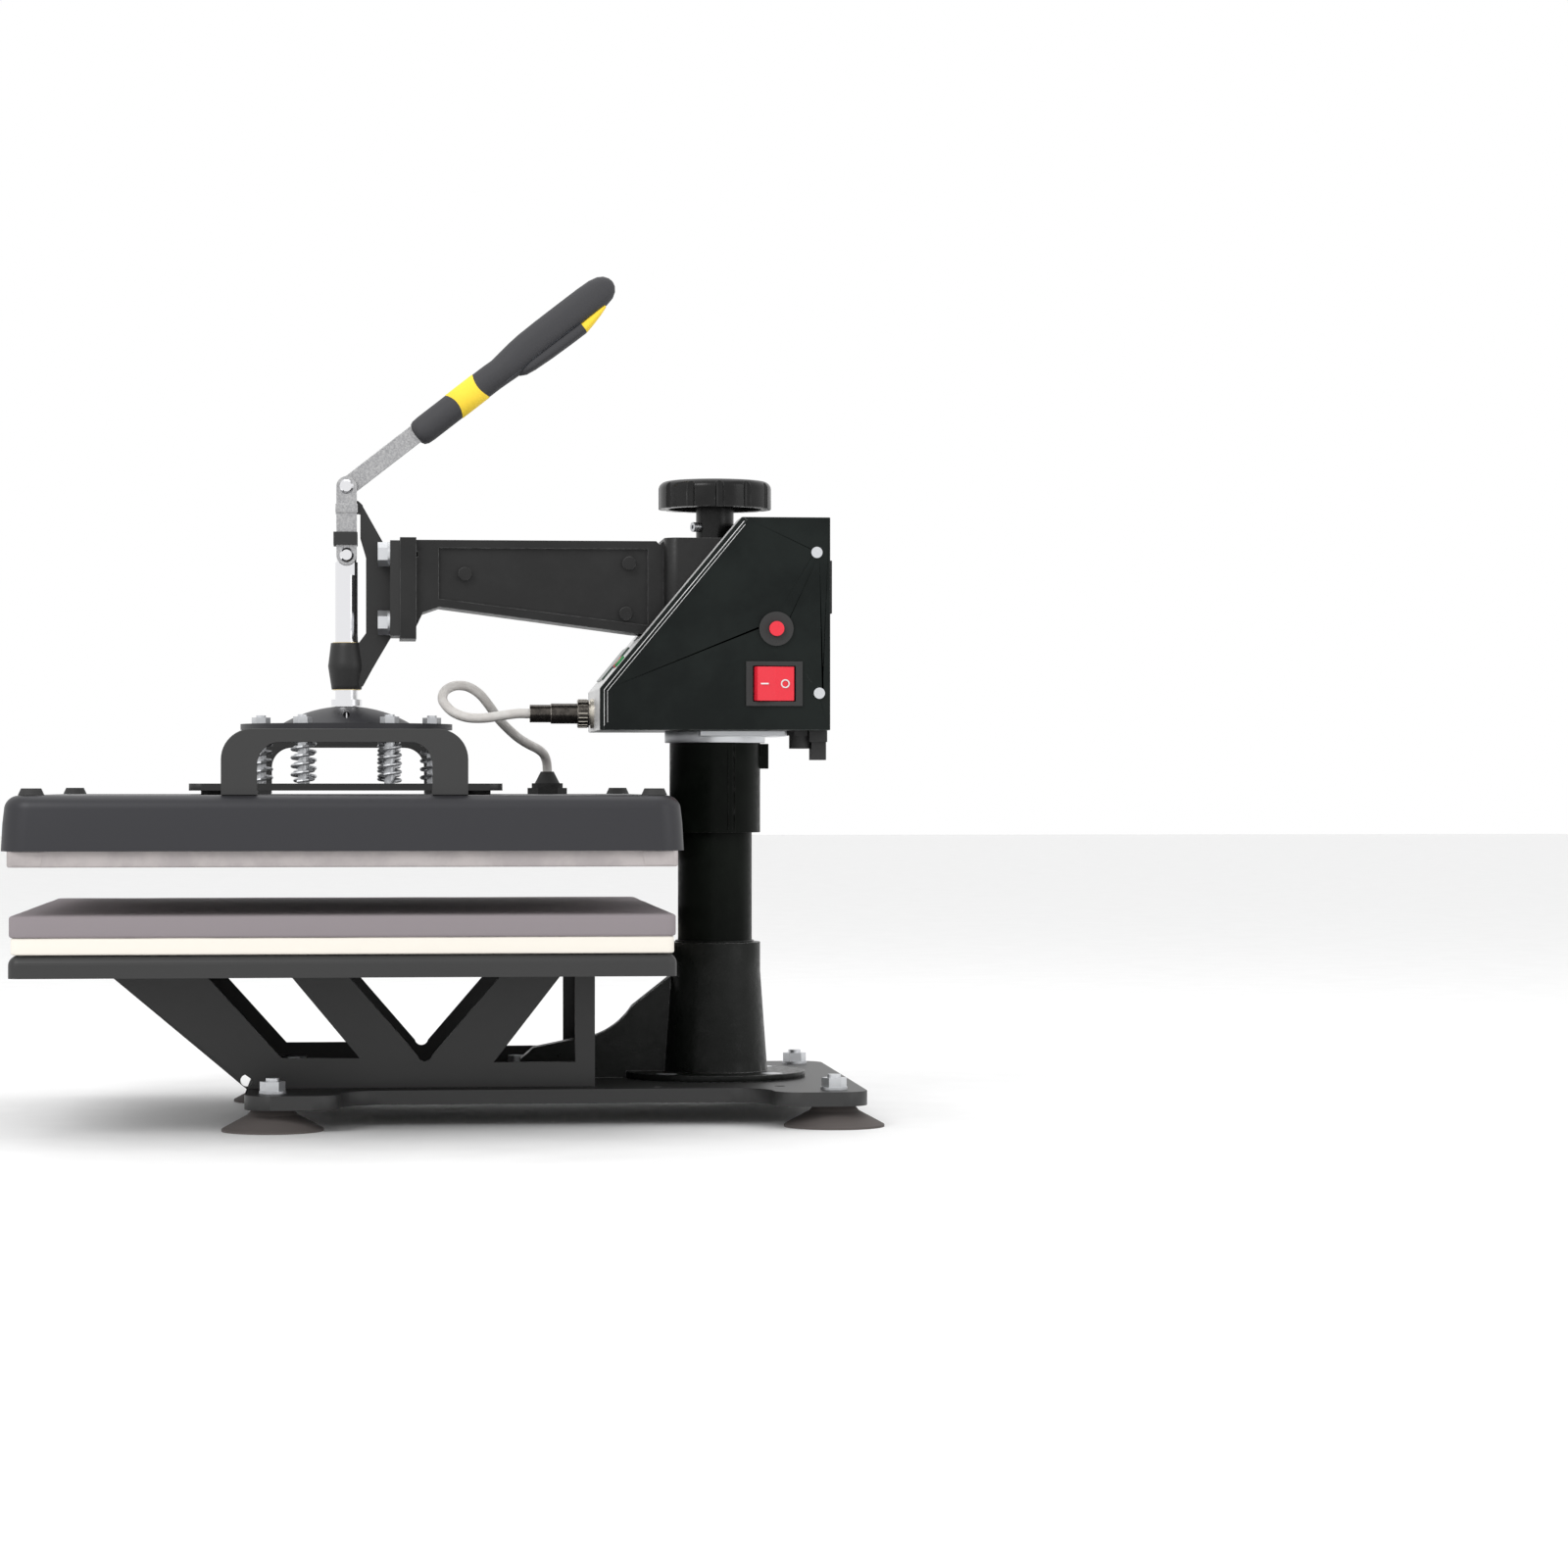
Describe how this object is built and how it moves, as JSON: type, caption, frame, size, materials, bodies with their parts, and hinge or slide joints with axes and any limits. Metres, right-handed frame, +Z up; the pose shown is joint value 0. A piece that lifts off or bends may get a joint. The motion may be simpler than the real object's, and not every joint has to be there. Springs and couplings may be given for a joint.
{
  "type": "heat press",
  "caption": "Swing-away heat press: heated square platen on a column arm, pressed by a toggle lever onto a padded lower platen.",
  "frame": {"origin": "centre of the footprint of the whole press, on the surface its suction cups stand on", "axes": "+X from the operator towards the column, +Y to the operator's left, +Z up"},
  "size_m": [0.5146, 0.39, 0.5198],
  "materials": {
    "powder_black": "satin powder coat",
    "cast_black": "gloss paint over rough casting",
    "cover_black": "satin enamel",
    "zinc": "bright zinc plate",
    "chrome": "polished",
    "steel": "plain turned steel",
    "aluminium": "coated sheet",
    "brass": "machined",
    "nickel": "matt nickel",
    "cup_rubber": "matt",
    "felt": "pressed felt",
    "silicone": "matt foam",
    "cord_rubber": "silicone sheath",
    "plastic_black": "fine texture",
    "grip_black": "soft touch",
    "grip_yellow": "soft touch",
    "switch_red": "translucent",
    "button_grey": "smooth",
    "button_green": "smooth",
    "panel_silver": "satin",
    "screen": "clear window",
    "board_green": "solder mask",
    "fibre": "fibre board"
  },
  "bodies": {
    "base": {"base_plate": "powder_black", "suction_cups": "cup_rubber", "base_fasteners": "zinc", "column_socket": "cast_black", "inner_column": "powder_black", "lift_nut": "brass", "platen_support": "powder_black", "lower_platen": "powder_black", "felt_pad": "felt", "silicone_pad": "silicone"},
    "thrust_collar": {"thrust_collar": "steel"},
    "wheel": {"hand_wheel": "plastic_black", "lift_screw": "steel", "wheel_set_screw": "zinc"},
    "head": {"swing_sleeve": "powder_black", "press_arm": "powder_black", "lever_bracket": "cast_black", "bracket_bolts": "zinc", "guide_bush": "brass", "pivot_pin": "steel", "control_box": "powder_black", "right_side_cover": "powder_black", "left_side_cover": "powder_black", "control_panel": "panel_silver", "display": "screen", "switch_bezel": "plastic_black", "reset_ring": "plastic_black", "box_screws": "zinc", "heater_socket": "nickel", "heater_plug": "nickel", "mains_gland": "plastic_black", "controller_board": "board_green", "power_relay": "plastic_black", "box_bracket": "zinc"},
    "rocker": {"switch_rocker": "switch_red"},
    "reset": {"reset_button": "switch_red"},
    "set_key": {"set_button": "button_grey"},
    "up_key": {"up_button": "switch_red"},
    "down_key": {"down_button": "button_green"},
    "lever": {"lever_bar": "steel", "lever_grip": "grip_black", "grip_band": "grip_yellow", "grip_tail": "grip_yellow"},
    "links": {"toggle_links": "steel", "link_clip": "powder_black", "link_pins": "chrome"},
    "heater": {"heater_cover": "cover_black", "heating_platen": "aluminium", "heating_element": "steel", "insulation_board": "fibre", "spring_plate": "powder_black", "spring_studs": "zinc", "springs": "zinc", "side_handles": "powder_black", "handle_screws": "zinc", "cover_caps": "plastic_black", "cable_gland": "plastic_black", "heater_cord": "cord_rubber"},
    "press_head": {"press_shaft": "chrome", "press_dome": "cover_black"}
  },
  "joints": [
    {"name": "height_adjust", "type": "slide", "parent": "base", "child": "thrust_collar", "axis": [0, 0, 1], "range_m": [-0.003, 0.01]},
    {"name": "wheel_turn", "type": "hinge", "parent": "thrust_collar", "child": "wheel", "pos_m": [0.16565, 0, 0.374], "axis": [0, 0, 1], "range_deg": [-540, 1800]},
    {"name": "head_swing", "type": "hinge", "parent": "thrust_collar", "child": "head", "pos_m": [0.16565, 0, 0.3], "axis": [0, 0, 1], "range_deg": [-180, 180]},
    {"name": "lever_turn", "type": "hinge", "parent": "head", "child": "lever", "pos_m": [-0.06235, 0, 0.3751], "axis": [0, -1, 0], "range_deg": [0, 180]},
    {"name": "link_turn", "type": "hinge", "parent": "lever", "child": "links", "pos_m": [-0.06235, 0, 0.3871], "axis": [0, -1, 0], "range_deg": [-180, 0]},
    {"name": "press_stroke", "type": "slide", "parent": "head", "child": "heater", "axis": [0, 0, -1], "range_m": [0, 0.024]},
    {"name": "spring_float", "type": "slide", "parent": "heater", "child": "press_head", "axis": [0, 0, -1], "range_m": [0, 0.004], "stiffness_N_per_m": 20000, "springref_m": -0.002, "deforming": ["springs"]},
    {"name": "rocker_turn", "type": "hinge", "parent": "head", "child": "rocker", "pos_m": [0.19635, -0.063, 0.2649], "axis": [0, 0, -1], "range_deg": [0, 17]},
    {"name": "reset_push", "type": "slide", "parent": "head", "child": "reset", "axis": [0, 1, 0], "range_m": [0, 0.002], "stiffness_N_per_m": 500, "springref_m": -0.001},
    {"name": "set_push", "type": "slide", "parent": "head", "child": "set_key", "axis": [0.7702, 0, -0.6378], "range_m": [0, 0.0015], "stiffness_N_per_m": 300, "springref_m": -0.001},
    {"name": "up_push", "type": "slide", "parent": "head", "child": "up_key", "axis": [0.7702, 0, -0.6378], "range_m": [0, 0.0015], "stiffness_N_per_m": 300, "springref_m": -0.001},
    {"name": "down_push", "type": "slide", "parent": "head", "child": "down_key", "axis": [0.7702, 0, -0.6378], "range_m": [0, 0.0015], "stiffness_N_per_m": 300, "springref_m": -0.001}
  ],
  "couplings": [
    {"joint": "wheel_turn", "follows": "height_adjust", "rad_per_m": 3141.6},
    {"joint": "link_turn", "follows": "press_stroke", "rad_per_m": -130.9},
    {"joint": "lever_turn", "follows": "press_stroke", "rad_per_m": 130.9}
  ]
}
